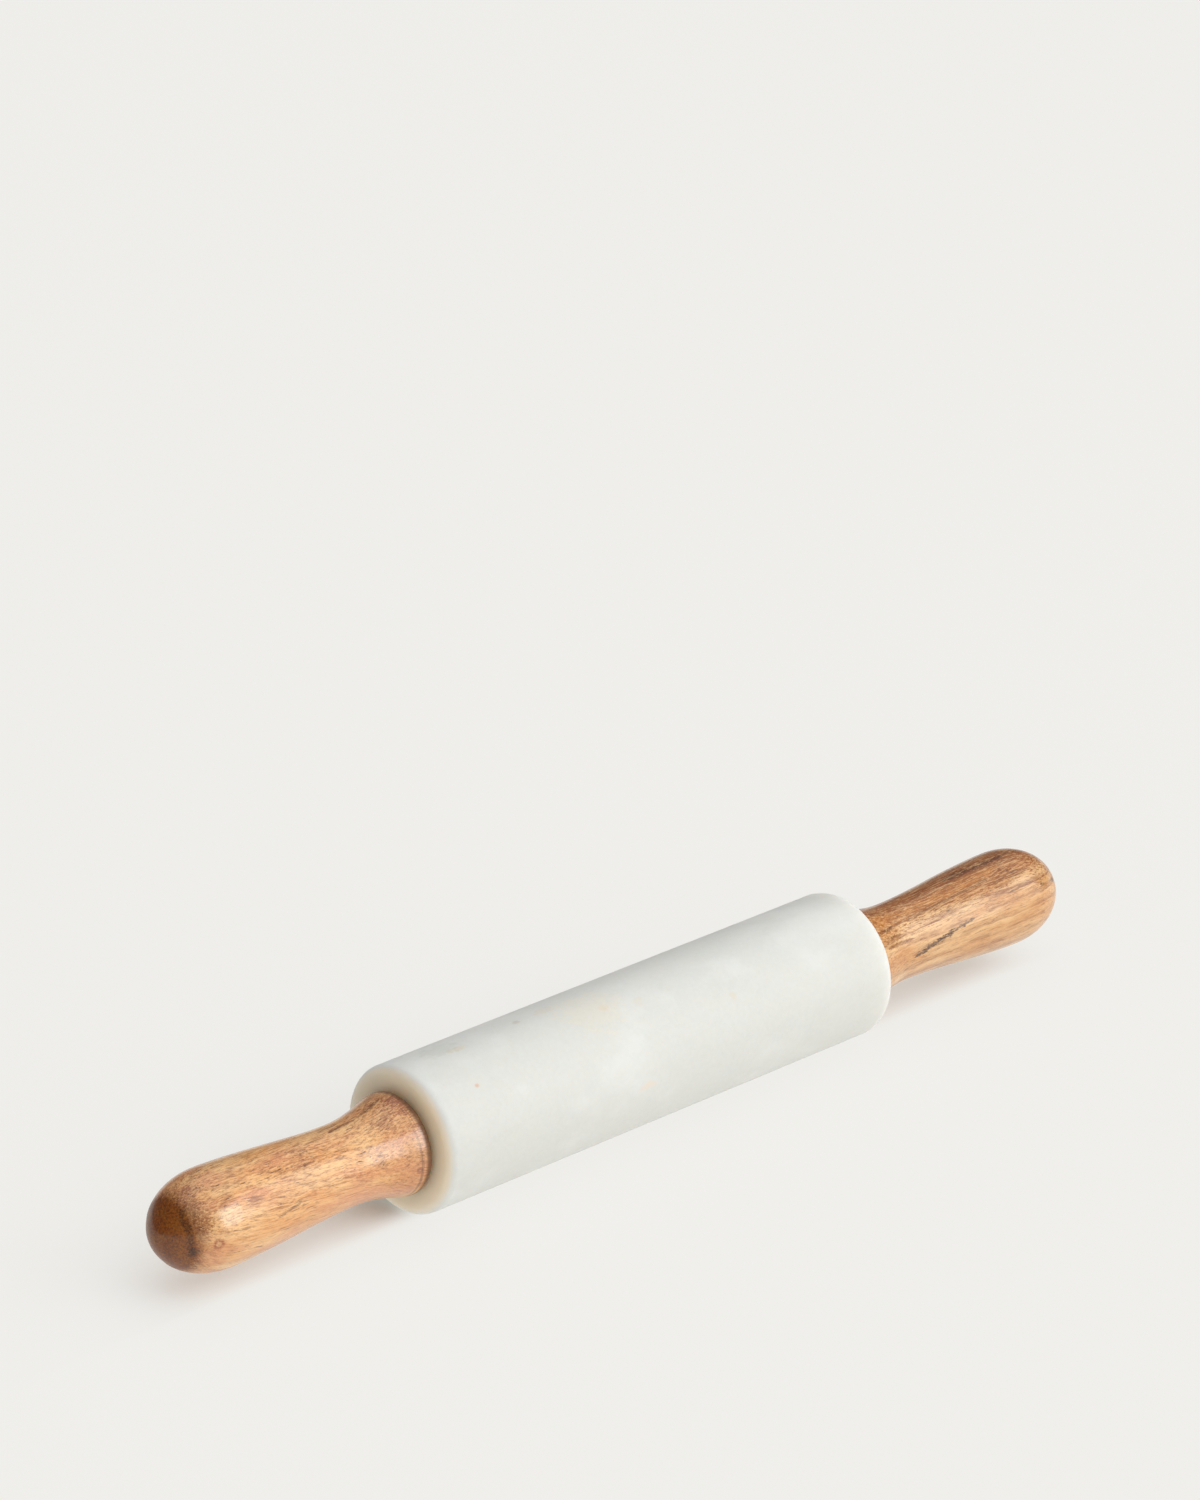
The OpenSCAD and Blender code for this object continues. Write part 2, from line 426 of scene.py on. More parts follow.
def patch(tree, place, spot, size, torn):
    # soft-edged patch
    away = addNode(tree, "ShaderNodeVectorMath", {0: place, 1: onSurface(spot)}, operation="SUBTRACT")
    length, width = size
    scaled = addNode(tree, "ShaderNodeVectorMath",
                     {0: away.outputs[0], 1: (2 / length, 2 / width, 2 / width)}, operation="MULTIPLY")
    reach = addNode(tree, "ShaderNodeVectorMath", {0: scaled.outputs[0]}, operation="LENGTH")
    reach = addNode(tree, "ShaderNodeMath", {0: reach.outputs["Value"], 1: torn}, operation="ADD")
    return remap(tree, reach.outputs[0], *softEdge)


def streak(tree, place, start, end, width, torn):
    # thin mark between two spots, drawn out to a point at both ends
    pointWidth = 0.1  # share of its width left there
    fullAt = 0.12  # the way from one end, times the way from the other, where it has its full width
    start, end = onSurface(start), onSurface(end)
    run = end - start
    out = addNode(tree, "ShaderNodeVectorMath", {0: place, 1: start}, operation="SUBTRACT").outputs[0]
    share = addNode(tree, "ShaderNodeVectorMath", {0: out, 1: run / run.length_squared},
                    operation="DOT_PRODUCT").outputs["Value"]
    share = addNode(tree, "ShaderNodeClamp", {"Value": share}).outputs[0]
    nearest = addNode(tree, "ShaderNodeVectorMath", {0: run, "Scale": share}, operation="SCALE")
    away = addNode(tree, "ShaderNodeVectorMath", {0: out, 1: nearest.outputs[0]}, operation="DISTANCE")
    rest = addNode(tree, "ShaderNodeMath", {0: 1.0, 1: share}, operation="SUBTRACT").outputs[0]
    swell = remap(tree, times(tree, share, rest), 0.0, fullAt, pointWidth, 1.0)
    reach = addNode(tree, "ShaderNodeMath", {0: away.outputs["Value"], 1: times(tree, swell, width / 2)},
                    operation="DIVIDE")
    reach = addNode(tree, "ShaderNodeMath", {0: reach.outputs[0], 1: torn}, operation="ADD")
    return remap(tree, reach.outputs[0], *softEdge)


marble = {
    "ground": "#D1D2CD",
    "cloud": "#D7D8D4",
    "shade": "#CDCEC8",
    "end": "#EBDDC7",  # painted warm light on the ends: bounced off the wood and glowing through the marble
    "vein": "#B4B9B2",
    "crystal": "#F6F6F2",
    # noises, with their sizes along the pin and across it in mm, and edges: the values of a noise at which
    # its mark starts and is full
    "clouds": {"along": 34.0, "across": 23.8, "detail": 3.0, "roughness": 0.55, "seed": 2.0},
    "cloudEdge": (0.50, 0.70),
    "shades": {"along": 20.4, "across": 13.6, "detail": 5.0, "roughness": 0.6, "seed": 5.0},
    "shadeEdge": (0.52, 0.75),
    "veins": {"along": 60.0, "across": 30.0, "detail": 6.0, "roughness": 0.62, "seed": 9.0},
    "veinEdge": (0.010, 0.0),  # off the middle of the noise
    "torn": {"along": 3.0, "across": 2.2, "detail": 3.0, "roughness": 0.6, "seed": 7.0},
    "tornReach": 2.2,  # how far it pushes the edges of the stains
    # then the marks left by polishing
    "polish": {"along": 4.0, "across": 4.0, "detail": 4.0, "roughness": 0.6, "seed": 11.0},
    "endEdge": (0.45, 0.97),  # how far the surface faces along the pin
    "grain": 1.3,  # mm, calcite crystals
    "shadeDepth": 0.6,  # how strongly each pattern shows
    "veinDepth": 0.07,
    "grainDepth": 0.05,
    "endGlowDepth": 0.9,
    "roughness": (0.50, 0.60),
    "bump": (0.12, 0.0002),  # strength, and depth in m
    "scatter": (1.0, 0.85, 0.72),  # how deep red, green and blue light gets, as shares of the next
    "scatterDepth": 0.022,  # m
    "stains": [  # spot as in onSurface(), length and width in mm, colour, strength, how torn its edge is
        ((-92.8, 49, 28.5), (1.9, 1.5), "#D2976E", 0.55, 0.8),
        ((-56.0, 91, 28.5), (3.0, 2.2), "#B4ABA0", 0.45, 0.8),
        ((-41.8, 92, 28.5), (8.0, 4.0), "#CDBFA4", 0.25, 1.2),
        ((-26.6, 73, 28.5), (24.0, 18.0), "#DCD3BE", 0.32, 1.4),
        ((-21.0, 70, 28.5), (4.0, 3.0), "#D8C3A2", 0.3, 1.0),
        ((-6.3, 64, 28.5), (4.0, 3.0), "#D6C7AC", 0.22, 1.0),
        ((33.9, 40, 28.5), (2.4, 2.4), "#D3C6AC", 0.38, 1.0),
        ((-16.2, 0, 28.5), (7.0, 2.4), "#E6CBAE", 0.32, 1.2),
        ((-87.3, 87, 28.5), (8.0, 2.6), "#D0BC94", 0.3, 1.0),
        ((-92.0, 95, 28.5), (16.0, 8.0), "#B8BCB2", 0.35, 1.2),
        ((20.0, 250, 28.5), (22.0, 12.0), "#D8CDB5", 0.4, 1.2),
        ((-60.0, 215, 28.5), (12.0, 6.0), "#CFC4AB", 0.4, 1.2),
    ],
}


def honedMarble():
    # white calcite marble, ground round and waxed: milky, with a soft sheen and hardly any veins
    material, tree = newMaterial("honed_white_marble")
    place, normal = makeMillimetres(tree)
    clouds = noiseOf(tree, place, **marble["clouds"])
    colour = tint(tree, remap(tree, clouds, *marble["cloudEdge"]), marble["ground"], marble["cloud"])
    shades = noiseOf(tree, place, **marble["shades"])
    shade = remap(tree, shades, *marble["shadeEdge"], 0.0, marble["shadeDepth"])
    colour = tint(tree, shade, colour, marble["shade"])
    veins = centred(tree, noiseOf(tree, place, **marble["veins"]), 1.0)
    ridge = addNode(tree, "ShaderNodeMath", {0: veins}, operation="ABSOLUTE")
    vein = remap(tree, ridge.outputs[0], *marble["veinEdge"], 0.0, marble["veinDepth"])
    colour = tint(tree, vein, colour, marble["vein"])
    wobble = centred(tree, noiseOf(tree, place, **marble["torn"]), marble["tornReach"])
    for spot, size, stainColour, strength, torn in marble["stains"]:
        mask = patch(tree, place, spot, size, times(tree, wobble, torn))
        colour = tint(tree, times(tree, mask, strength), colour, stainColour)
    grain = addNode(tree, "ShaderNodeTexVoronoi", {"Vector": place, "Scale": 1 / marble["grain"]})
    sugar = addNode(tree, "ShaderNodeSeparateColor", {0: grain.outputs["Color"]})
    sparkle = remap(tree, sugar.outputs[0], 0.0, 1.0, 0.0, marble["grainDepth"])
    colour = tint(tree, sparkle, colour, marble["crystal"])
    # painted light: a warmer, lighter tint on the ends stands for the warm light that the wood bounces onto
    # them and that glows through the marble
    facing = addNode(tree, "ShaderNodeSeparateXYZ", {0: normal})
    facing = addNode(tree, "ShaderNodeMath", {0: facing.outputs["X"]}, operation="ABSOLUTE").outputs[0]
    end = remap(tree, facing, *marble["endEdge"], 0.0, marble["endGlowDepth"])
    colour = tint(tree, end, colour, marble["end"])
    bump = bumpOf(tree, noiseOf(tree, place, **marble["polish"]), marble["bump"])
    shader = addNode(tree, "ShaderNodeBsdfPrincipled", {
        "Base Color": colour,
        "Roughness": varied(tree, shades, marble["roughness"]),
        "IOR": 1.49,
        "Normal": bump,
        "Subsurface Weight": 1.0,
        "Subsurface Radius": marble["scatter"],
        "Subsurface Scale": marble["scatterDepth"],
    })
    closeMaterial(tree, shader.outputs[0])
    return material


nearWood = {
    "name": "oiled_acacia_near",
    "pale": "#F2C186",
    "mid": "#DE9C5C",
    "warm": "#D48B5E",
    "dark": "#8A5230",
    "pore": "#59301A",
    "cap": "#9D711A",  # tints the round end, whose end grain drinks the oil; this deep tint also paints in that end's shade
    "cut": ("#54300E", "#9A6620"),  # cut pores there, and the wood between them
    "cutDepth": 0.75,  # how strongly those pores show
    "capCoat": 0.5,  # it keeps less of the oil film on top
    "lean": (0.0, -8.0, -4.0),  # degrees that the grain leans off the handle's axis
    "sway": 7.0,  # mm that the grain wanders
    "pith": (24.0, -34.0),  # mm back from and above the axis: where the middle of the tree was
    "ring": 3.6,  # mm from one growth ring to the next
    "rings": 0.2,  # how strongly the rings show
    "fibre": 13.0,  # mm, length of a fibre
    "lines": 0.42,  # how strongly the fibres show, like the next two
    "pores": 0.8,
    "footMarksAndShade": 0.8,  # the tool's marks near the foot, and the painted gap shade at its rim
    "figureToward": (0.0, -0.45, 0.9),  # side with the strongest figure
    "patches": [  # spot as in onSurface(), length and width in mm, colour, strength, how torn its edge is
        ((-214.2, -2, 17.0), (3.6, 3.6), "#9A3E1C", 0.85, 0.6),
        ((-214.2, -2, 17.0), (1.9, 1.9), "#DDA66E", 0.9, 0.3),
        ((-121.0, -8, 18.9), (2.4, 2.6), "#6B3024", 0.85, 0.5),
        ((-119.5, 78, 19.2), (9.0, 12.0), "#9C3A10", 0.8, 2.0),
        ((-129.5, 66, 16.8), (10.0, 5.0), "#84381A", 0.45, 2.0),
        ((-123.0, 15, 19.0), (14.0, 44.0), "#CC8058", 0.42, 1.8),
        ((-222.0, -12, 12.5), (4.0, 3.0), "#2E140A", 0.8, 2.2),
        ((-218.0, 40, 15.2), (5.0, 14.0), "#7A4318", 0.6, 1.8),
        ((-216.8, 81, 15.9), (5.0, 4.0), "#8E4520", 0.6, 1.0),
        ((-196.0, 32, 18.5), (7.0, 2.4), "#8E5638", 0.6, 0.8),
        ((-160.0, 200, 15.5), (30.0, 9.0), "#9A5E34", 0.5, 1.2),
        ((-153.0, 84, 15.6), (34.0, 7.0), "#F0C48E", 0.5, 1.4),
    ],
    "streaks": [  # two spots, then width in mm, colour, strength, how torn its edge is
        ((-150.0, 84, 15.4), (-121.0, 96, 18.8), 2.2, "#642A10", 0.8, 0.6),
        ((-221.5, 66, 12.8), (-222.5, 22, 12.2), 2.4, "#4A230E", 0.7, 2.0),
        ((-222.5, 26, 12.2), (-221.5, -20, 12.8), 2.0, "#4A230E", 0.7, 2.0),
        ((-209.0, -11, 18.2), (-193.0, -28, 18.6), 0.8, "#7C4B28", 0.7, 0.6),
        ((-189.0, 2, 18.0), (-175.0, 10, 17.4), 0.9, "#5B3320", 0.6, 2.4),
        ((-178.0, 46, 17.2), (-128.0, 60, 17.0), 1.0, "#8A4E22", 0.6, 0.8),
        ((-200.0, 150, 18.2), (-130.0, 165, 16.8), 2.0, "#80471F", 0.6, 0.9),
    ],
    "seed": 3.0,
}
farWood = {
    "name": "oiled_acacia_far",
    "pale": "#E9BD88",
    "mid": "#D39A60",
    "warm": "#CB8C50",
    "dark": "#7E4015",
    "pore": "#452711",
    "cap": "#EEDFC0",
    "cut": ("#6A4220", "#B9824A"),
    "cutDepth": 0.35,
    "capCoat": 0.7,
    "lean": (0.0, 1.5, 1.0),
    "sway": 3.0,
    "pith": (10.0, 90.0),
    "ring": 4.6,
    "rings": 0.42,
    "fibre": 30.0,
    "lines": 0.38,
    "pores": 0.6,
    "footMarksAndShade": 0.6,
    "figureToward": (0.0, -0.1, 1.0),
    "patches": [
        ((158.0, 260, 15.8), (40.0, 10.0), "#A9713C", 0.5, 1.2),
    ],
    "streaks": [
        ((80.0, 92, 17.0), (252.0, 92, 17.0), 17.0, "#954D0B", 0.88, 2.6),
        ((168.0, 91, 17.2), (204.0, 84, 18.4), 2.4, "#451B06", 0.85, 3.4),
        ((200.0, 88, 18.2), (217.0, 90, 16.0), 2.0, "#4A220A", 0.8, 3.0),
        ((100.0, 60, 16.6), (196.0, 72, 18.4), 5.0, "#C67C2C", 0.65, 1.2),
        ((108.0, 43, 18.6), (154.0, 57, 15.7), 1.2, "#74441C", 0.85, 0.8),
        ((150.0, 56, 15.7), (188.0, 61, 18.2), 1.1, "#80501F", 0.75, 0.8),
        ((194.0, 45, 18.5), (219.0, 51, 15.2), 1.1, "#6E4426", 0.45, 0.7),
        ((208.0, 29, 18.2), (222.0, 29, 13.2), 1.6, "#331C12", 0.95, 0.4),
        ((112.0, 27, 19.2), (141.0, 25, 15.4), 1.3, "#8A5228", 0.75, 0.8),
        ((116.0, 40, 19.0), (136.0, 36, 15.4), 1.0, "#8A5228", 0.7, 0.8),
        ((138.5, -3, 15.4), (162.0, 15, 16.3), 1.4, "#45251A", 0.95, 3.4),
        ((150.0, 8, 15.5), (173.0, 21, 17.0), 0.9, "#41200F", 0.85, 2.6),
        ((130.0, 190, 16.5), (210.0, 200, 18.0), 2.4, "#7A4A22", 0.6, 1.0),
    ],
    "seed": 14.0,
}


woodGrain = {  # noises and edges as for the marble, with the grain in place of the pin
    "wander": ((60.0, 22.0), (12.0, 5.0)),  # mm along the grain and across it: a wide one, a small one
    "smallSway": 1.4,  # mm that the small one reaches
    "figureEdge": (0.15, 0.9),  # cosines off the side with the figure
    "bands": {"across": 7.0, "detail": 4.0, "roughness": 0.6, "seed": 1.0},
    "bandLength": 3,  # in fibres
    "bandEdge": (0.38, 0.62),
    "blush": {"along": 34.0, "across": 9.0, "detail": 2.0, "roughness": 0.5, "seed": 6.0},
    "blushEdge": (0.46, 0.62),
    "blushDepth": 0.75,
    "crowd": {"along": 20.0, "across": 6.0, "detail": 3.0, "roughness": 0.6, "seed": 5.0},
    "ringEdges": ((0.35, 0.95), (1.0, 0.95)),  # a ring darkens slowly and ends at once
    "ringCrowd": (0.38, 0.56),
    "ringFigure": 1.8,  # times as strong on the side with the figure as off it
    "torn": {"along": 2.6, "across": 0.6, "detail": 4.0, "roughness": 0.75, "seed": 4.0},
    "tornReach": 3.4,  # how far it pushes the edges of the marks
    "fibres": {"across": 0.75, "detail": 4.0, "roughness": 0.8, "seed": 2.0},
    "fibreEdges": ((0.49, 0.62), (0.49, 0.38)),  # dark ones, pale ones
    "fibreFigure": (0.75, 1.6),  # how strong off the side with the figure and on it
    "pores": {"along": 5.5, "across": 0.58, "detail": 3.0, "roughness": 0.65, "seed": 7.0},
    "poreEdge": (0.54, 0.66),
    "poreCrowd": (0.38, 0.60),
    "fewPores": 0.15,  # their strength where they don't crowd
    "poreFigure": (0.85, 1.3),
    "poreBump": (0.4, 0.00008),  # strength, and depth in m
    "specks": {"along": 2.6, "across": 0.5, "detail": 2.0, "roughness": 0.7, "seed": 9.0},
    "speckEdges": ((0.52, 0.66), (0.46, 0.36)),
    "speckDepth": (0.2, 0.4),
    "capEdge": (0.42, 0.66),  # where the end grain starts and is full: how far it faces along the pin
    "capTorn": 0.12,  # how uneven that is
    "capUp": -0.03,  # how much later it starts on top
    "cuts": {"along": 0.8, "across": 0.8, "detail": 3.0, "roughness": 0.7, "seed": 15.0},
    "cutEdges": ((0.50, 0.62), (0.48, 0.36)),
    "paleCuts": 0.5,
    "toolRings": {"along": 0.9, "across": 50.0, "detail": 2.0, "roughness": 0.6, "seed": 12.0},
    "toolEdge": (0.50, 0.62),
    "toolReach": (7.0, 3.0),  # mm from the foot
    # mm from the foot where the painted shade of the gap against the barrel's end starts and is full
    "gapShadeReach": (3.6, 1.9),
}
oilFilm = {
    "roughness": (0.45, 0.55),
    "level": 0.12,  # the wood under the film shines little
    "coat": 0.8,
    "coatRoughness": 0.2,
    "coatIor": 1.8,
}


def oiledWood(look):
    # acacia turned along the grain, oiled and rubbed to a soft gloss: golden, with dark dashes for its
    # open pores, darker end grain on its round end (deepened by painted shade on the near handle), and a
    # clear window shape in its highlights
    material, tree = newMaterial(look["name"])
    place, normal = makeMillimetres(tree)
    seed = look["seed"]
    lean = addNode(tree, "ShaderNodeMapping",
                   {"Vector": place, "Rotation": [math.radians(a) for a in look["lean"]]}).outputs[0]

    # the grain wanders on its way along the handle
    grain = lean
    for (run, width), sway in zip(woodGrain["wander"], (look["sway"], woodGrain["smallSway"])):
        wander = addNode(tree, "ShaderNodeTexNoise",
                         {"Vector": stretch(tree, lean, run, width), "W": seed + run, "Scale": 1.0,
                          "Detail": 1.0}, noise_dimensions="4D")
        middle = addNode(tree, "ShaderNodeVectorMath", {0: wander.outputs["Color"], 1: (0.5, 0.5, 0.5)},
                         operation="SUBTRACT")
        pushed = addNode(tree, "ShaderNodeVectorMath", {0: middle.outputs[0], 1: (0.0, sway, sway)},
                         operation="MULTIPLY")
        grain = addNode(tree, "ShaderNodeVectorMath", {0: grain, 1: pushed.outputs[0]},
                        operation="ADD").outputs[0]

    def grainNoise(name, **sizes):
        return noiseOf(tree, grain, **woodGrain[name], **sizes, piece=seed)

    # the figure is strongest on one side
    toward = addNode(tree, "ShaderNodeVectorMath", {0: normal, 1: look["figureToward"]},
                     operation="DOT_PRODUCT").outputs["Value"]
    figure = remap(tree, toward, *woodGrain["figureEdge"])

    # ground colour: soft bands and warmer places
    bands = grainNoise("bands", along=look["fibre"] * woodGrain["bandLength"])
    colour = tint(tree, remap(tree, bands, *woodGrain["bandEdge"]), look["mid"], look["pale"])
    blush = remap(tree, grainNoise("blush"), *woodGrain["blushEdge"], 0.0, woodGrain["blushDepth"])
    colour = tint(tree, blush, colour, look["warm"])

    # growth rings round the middle of the tree, each darker towards its late wood
    crowd = grainNoise("crowd")
    back, above = look["pith"]
    out = addNode(tree, "ShaderNodeVectorMath", {0: grain, 1: (0.0, back, axisZ / mm + above)},
                  operation="SUBTRACT")
    out = addNode(tree, "ShaderNodeVectorMath", {0: out.outputs[0], 1: (0.0, 1.0, 1.0)},
                  operation="MULTIPLY")
    out = addNode(tree, "ShaderNodeVectorMath", {0: out.outputs[0]}, operation="LENGTH")
    ring = addNode(tree, "ShaderNodeMath", {0: out.outputs["Value"], 1: look["ring"]}, operation="DIVIDE")
    ring = addNode(tree, "ShaderNodeMath", {0: ring.outputs[0]}, operation="FRACT").outputs[0]
    darkening, ending = woodGrain["ringEdges"]
    late = times(tree, remap(tree, ring, *darkening), remap(tree, ring, *ending))
    late = times(tree, late, remap(tree, crowd, *woodGrain["ringCrowd"]))
    strength = remap(tree, figure, 0.0, 1.0, look["rings"], look["rings"] * woodGrain["ringFigure"])
    colour = tint(tree, times(tree, late, strength), colour, look["dark"])

    # marks that this piece has: a knot, flecks and dark streaks
    wobble = centred(tree, grainNoise("torn"), woodGrain["tornReach"])
    for spot, size, markColour, strength, torn in look["patches"]:
        mask = patch(tree, place, spot, size, times(tree, wobble, torn))
        colour = tint(tree, times(tree, mask, strength), colour, markColour)
    for start, end, width, markColour, strength, torn in look["streaks"]:
        mask = streak(tree, place, start, end, width, times(tree, wobble, torn))
        colour = tint(tree, times(tree, mask, strength), colour, markColour)

    # fine fibres along the grain, darker and lighter than the ground
    fibres = grainNoise("fibres", along=look["fibre"])
    weak, strong = woodGrain["fibreFigure"]
    depth = remap(tree, figure, 0.0, 1.0, look["lines"] * weak, look["lines"] * strong)
    for edge, shade in zip(woodGrain["fibreEdges"], (look["dark"], look["pale"])):
        colour = tint(tree, times(tree, remap(tree, fibres, *edge), depth), colour, shade)

    # open pores, drawn about twice as wide as real ones so that they show
    pores = times(tree, remap(tree, grainNoise("pores"), *woodGrain["poreEdge"]),
                  remap(tree, crowd, *woodGrain["poreCrowd"], woodGrain["fewPores"], look["pores"]))
    pores = times(tree, pores, remap(tree, figure, 0.0, 1.0, *woodGrain["poreFigure"]))
    colour = tint(tree, pores, colour, look["pore"])
    specks = grainNoise("specks")
    depth = remap(tree, figure, 0.0, 1.0, *woodGrain["speckDepth"])
    for edge, shade in zip(woodGrain["speckEdges"], (look["dark"], look["pale"])):
        colour = tint(tree, times(tree, remap(tree, specks, *edge), depth), colour, shade)

    # end grain drinks the oil, so the round end is darker, speckled with cut pores. On the near handle
    # the deep tint is also painted shade on that end
    facing = addNode(tree, "ShaderNodeSeparateXYZ", {0: normal})
    along = addNode(tree, "ShaderNodeMath", {0: facing.outputs["X"]}, operation="ABSOLUTE").outputs[0]
    uneven = addNode(tree, "ShaderNodeMath", {0: along, 1: times(tree, wobble, woodGrain["capTorn"])},
                     operation="ADD")
    lower = times(tree, facing.outputs["Z"], woodGrain["capUp"])
    uneven = addNode(tree, "ShaderNodeMath", {0: uneven.outputs[0], 1: lower}, operation="ADD")
    cap = remap(tree, uneven.outputs[0], *woodGrain["capEdge"])
    colour = tint(tree, cap, colour, look["cap"], "MULTIPLY")
    cuts = noiseOf(tree, place, **woodGrain["cuts"], piece=seed)
    for edge, depth, shade in zip(woodGrain["cutEdges"], (look["cutDepth"], woodGrain["paleCuts"]),
                                  look["cut"]):
        colour = tint(tree, times(tree, cap, remap(tree, cuts, *edge, 0.0, depth)), colour, shade)

    # the tool left fine dark rings near the foot, and a dark band painted at its rim stands for the shade
    # in the gap against the barrel's end
    x = addNode(tree, "ShaderNodeSeparateXYZ", {0: place}).outputs["X"]
    x = addNode(tree, "ShaderNodeMath", {0: x}, operation="ABSOLUTE").outputs[0]
    fromFoot = addNode(tree, "ShaderNodeMath", {0: x, 1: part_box("right_handle")[0].x / mm},
                       operation="SUBTRACT").outputs[0]
    rings = noiseOf(tree, place, **woodGrain["toolRings"], piece=seed)
    rings = times(tree, remap(tree, rings, *woodGrain["toolEdge"]),
                  remap(tree, fromFoot, *woodGrain["toolReach"], 0.0, look["footMarksAndShade"]))
    rim = remap(tree, fromFoot, *woodGrain["gapShadeReach"], 0.0, look["footMarksAndShade"])
    rings = addNode(tree, "ShaderNodeMath", {0: rings, 1: rim}, operation="MAXIMUM").outputs[0]
    colour = tint(tree, rings, colour, look["pore"])

    shader = addNode(tree, "ShaderNodeBsdfPrincipled", {
        "Base Color": colour,
        "Roughness": varied(tree, fibres, oilFilm["roughness"]),
        "Specular IOR Level": oilFilm["level"],
        "IOR": 1.5,
        "Normal": bumpOf(tree, pores, woodGrain["poreBump"], invert=True),
        "Coat Weight": remap(tree, cap, 0.0, 1.0, oilFilm["coat"], look["capCoat"]),
        "Coat Roughness": oilFilm["coatRoughness"],
        "Coat IOR": oilFilm["coatIor"],
    })
    closeMaterial(tree, shader.outputs[0])
    return material


steel = {
    "tones": ("#A9ABAE", "#C6C8CA"),
    "scratches": {"along": 30.0, "across": 0.12, "detail": 3.0, "roughness": 0.6, "seed": 21.0},
    "roughness": (0.24, 0.36),
}
nylon = {
    "tones": ("#E9E6DB", "#F3F1E8"),
    "rings": {"along": 0.25, "across": 40.0, "detail": 2.0, "roughness": 0.5, "seed": 31.0},
    "roughness": (0.42, 0.52),
}
brass = {
    "tones": ("#C9A35A", "#A9823F"),
    "tarnish": {"along": 5.0, "across": 5.0, "detail": 4.0, "roughness": 0.6, "seed": 41.0},
    "rings": {"along": 0.2, "across": 40.0, "detail": 2.0, "roughness": 0.5, "seed": 42.0},
    "roughness": (0.25, 0.40),
}
toolMarks = (0.2, 0.00002)  # strength, and depth in m


def drawnSteel():
    # bright drawn bar: fine scratches along it
    material, tree = newMaterial("bright_drawn_steel")
    place = makeMillimetres(tree)[0]
    scratches = noiseOf(tree, place, **steel["scratches"])
    shader = addNode(tree, "ShaderNodeBsdfPrincipled", {
        "Base Color": tint(tree, scratches, *steel["tones"]),
        "Metallic": 1.0,
        "Roughness": varied(tree, scratches, steel["roughness"]),
        "Normal": bumpOf(tree, scratches, toolMarks),
    })
    closeMaterial(tree, shader.outputs[0])
    return material


def naturalNylon():
    # turned nylon bar: off-white, waxy, with faint tool rings
    material, tree = newMaterial("natural_nylon")
    place = makeMillimetres(tree)[0]
    rings = noiseOf(tree, place, **nylon["rings"])
    shader = addNode(tree, "ShaderNodeBsdfPrincipled", {
        "Base Color": tint(tree, rings, *nylon["tones"]),
        "Roughness": varied(tree, rings, nylon["roughness"]),
        "IOR": 1.53,
        "Normal": bumpOf(tree, rings, toolMarks),
    })
    closeMaterial(tree, shader.outputs[0])
    return material


def turnedBrass():
    # free-cutting brass off the lathe, dulled a little by air
    material, tree = newMaterial("turned_brass")
    place = makeMillimetres(tree)[0]
    tarnish = noiseOf(tree, place, **brass["tarnish"])
    shader = addNode(tree, "ShaderNodeBsdfPrincipled", {
        "Base Color": tint(tree, tarnish, *brass["tones"]),
        "Metallic": 1.0,
        "Roughness": varied(tree, tarnish, brass["roughness"]),
        "Normal": bumpOf(tree, noiseOf(tree, place, **brass["rings"]), toolMarks),
    })
    closeMaterial(tree, shader.outputs[0])
    return material


# Barrel

quarterRound = 0.5523  # pull, as a share of the radius, that makes a cubic curve a quarter round
barrelShape = {
    "rim": 3.8,  # mm, radius of the rounded rim, like the rest
    "boreRadius": 8.1,
    "bushGap": 0.05,
    "seatDepth": 2.0,  # the seat of a bush's flange
    "sandedAbove": 5.7,  # only what lies less deep than this is sanded
    "stepsRound": 192,
    "stepsAlong": 40,
    "hollowDepth": 0.06,
    "hollowWidth": 26.0,
    "hollowSeed": 4.0,
}


def nodeRadius(node):
    low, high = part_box(node)
    return (high.z - low.z) / 2 / mm


def makeBarrel():
    low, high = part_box("marble_barrel")
    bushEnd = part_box("right_bush")[1].x / mm
    end, radius, rim = high.x / mm, nodeRadius("marble_barrel"), barrelShape["rim"]
    flange = nodeRadius("right_bush") + barrelShape["bushGap"]
    bore, seat = barrelShape["boreRadius"], bushEnd - barrelShape["seatDepth"]
    pull = rim * quarterRound
    third = (2 * end - 2 * rim) / 3
    outline = [
        (-seat, bore, None, None), (seat, bore, None, None), (seat, flange, None, None),
        (end, flange, None, None),
        (end, radius - rim, None, (0, pull)),
        (end - rim, radius, (pull, 0), (-third, 0)),
        (rim - end, radius, (third, 0), (-pull, 0)),
        (-end, radius - rim, (0, pull), None),
        (-end, flange, None, None), (-seat, flange, None, None),
    ]
    curve = drawOutline("barrel_outline", outline, True, barrelShape["stepsAlong"])
    barrel = turn("turned_barrel", curve, {
        "Steps Round": barrelShape["stepsRound"], "Axis Height": axisZ,
        "Hollow Depth": barrelShape["hollowDepth"] * mm, "Hollow Width": barrelShape["hollowWidth"] * mm,
        "Core Radius": (radius - barrelShape["sandedAbove"]) * mm, "Seed": barrelShape["hollowSeed"],
        "Material": honedMarble()})
    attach(barrel, "barrel")
    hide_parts("marble_barrel")


makeBarrel()
print("barrel turned")


# Handles

handleShape = {
    "footRim": 1.5,  # mm, like the rest
    "neckRadius": 15.3,
    "neckAt": 27.6,
    "bellyRadius": 18.7,
    "bellyAt": 87.8,
    "washerGap": 0.3,
    "seatGap": 0.05,
    "holePast": 1.5,
    "footPull": 0.21,  # how far the outline stays level after each point, as a share of the way on
    "neckPulls": (0.56, 0.25),
    "bellyPulls": (0.30, 0.73),
    "tipPull": 0.30,
    "sandedPast": 1.0,  # mm outside the recess
    "stepsRound": 160,
    "stepsAlong": 26,
    "hollowDepth": 0.25,
    "hollowWidth": 18.0,
}


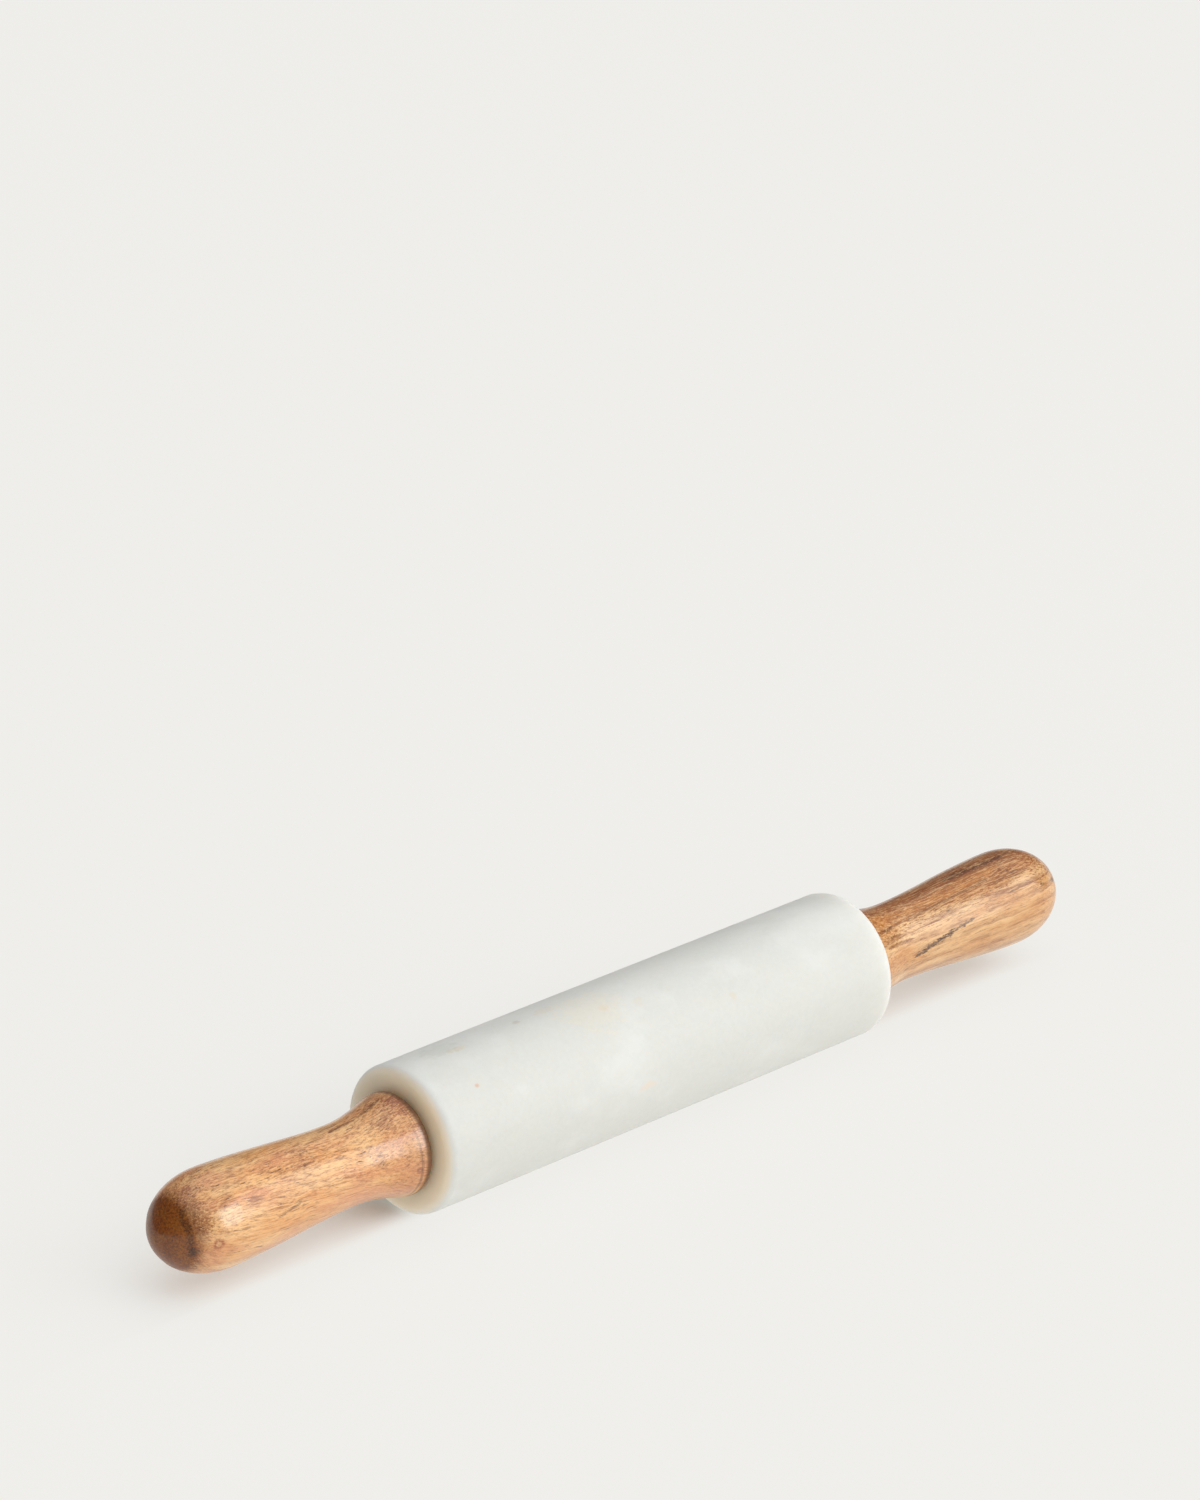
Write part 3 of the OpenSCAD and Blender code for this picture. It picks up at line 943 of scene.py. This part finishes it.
def makeHandle(node, wood, hollowSeed):
    low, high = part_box("right_handle")
    foot, tip, footRadius = low.x / mm, high.x / mm, nodeRadius("right_handle")
    insertLow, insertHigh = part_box("right_insert")
    shoulder, insertEnd = insertLow.x / mm, insertHigh.x / mm
    recess = nodeRadius("right_washer") + handleShape["washerGap"]
    insertHole = nodeRadius("right_insert") + handleShape["seatGap"]
    rodHole = nodeRadius("axle_rod")
    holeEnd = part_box("axle_rod")[1].x / mm + handleShape["holePast"]
    rim, neck, belly = handleShape["footRim"], handleShape["neckRadius"], handleShape["bellyRadius"]
    neckX, bellyX = foot + handleShape["neckAt"], foot + handleShape["bellyAt"]
    toNeck, toBelly, toTip = neckX - foot - rim, bellyX - neckX, tip - bellyX
    (neckIn, neckOut), (bellyIn, bellyOut) = handleShape["neckPulls"], handleShape["bellyPulls"]
    outline = [
        (holeEnd, 0, None, None), (holeEnd, rodHole, None, None), (insertEnd, rodHole, None, None),
        (insertEnd, insertHole, None, None), (shoulder, insertHole, None, None),
        (shoulder, recess, None, None), (foot, recess, None, None),
        (foot, footRadius - rim, None, (0, rim * quarterRound)),
        (foot + rim, footRadius, (-rim * quarterRound, 0), (handleShape["footPull"] * toNeck, 0)),
        (neckX, neck, (-neckIn * toNeck, 0), (neckOut * toBelly, 0)),
        (bellyX, belly, (-bellyIn * toBelly, 0), (bellyOut * toTip, 0)),
        (tip, 0, (0, handleShape["tipPull"] * belly), None),
    ]
    curve = drawOutline(node + "_outline", outline, False, handleShape["stepsAlong"])
    handle = turn("turned_" + node, curve, {
        "Steps Round": handleShape["stepsRound"], "Axis Height": axisZ,
        "Hollow Depth": handleShape["hollowDepth"] * mm, "Hollow Width": handleShape["hollowWidth"] * mm,
        "Core Radius": (recess + handleShape["sandedPast"]) * mm, "Seed": hollowSeed,
        "Material": oiledWood(wood)})
    if node.startswith("left"):
        handle.data.transform(Matrix.Scale(-1, 4, (1, 0, 0)))
        handle.data.flip_normals()
    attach(handle, "axle")
    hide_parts(node)


makeHandle("left_handle", nearWood, hollowSeed=2.0)
makeHandle("right_handle", farWood, hollowSeed=8.0)
print("handles turned")


# Pieces inside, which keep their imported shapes

def dress(nodes, material):
    for name in nodes:
        mesh = frame["nodes"][name].data
        mesh.materials.clear()
        mesh.materials.append(material)


dress(["axle_rod", "left_washer", "right_washer"], drawnSteel())
dress(["left_bush", "right_bush"], naturalNylon())
dress(["left_insert", "right_insert"], turnedBrass())
print("inside pieces dressed")

view = bpy.context.scene.view_settings
view.view_transform = "Standard"
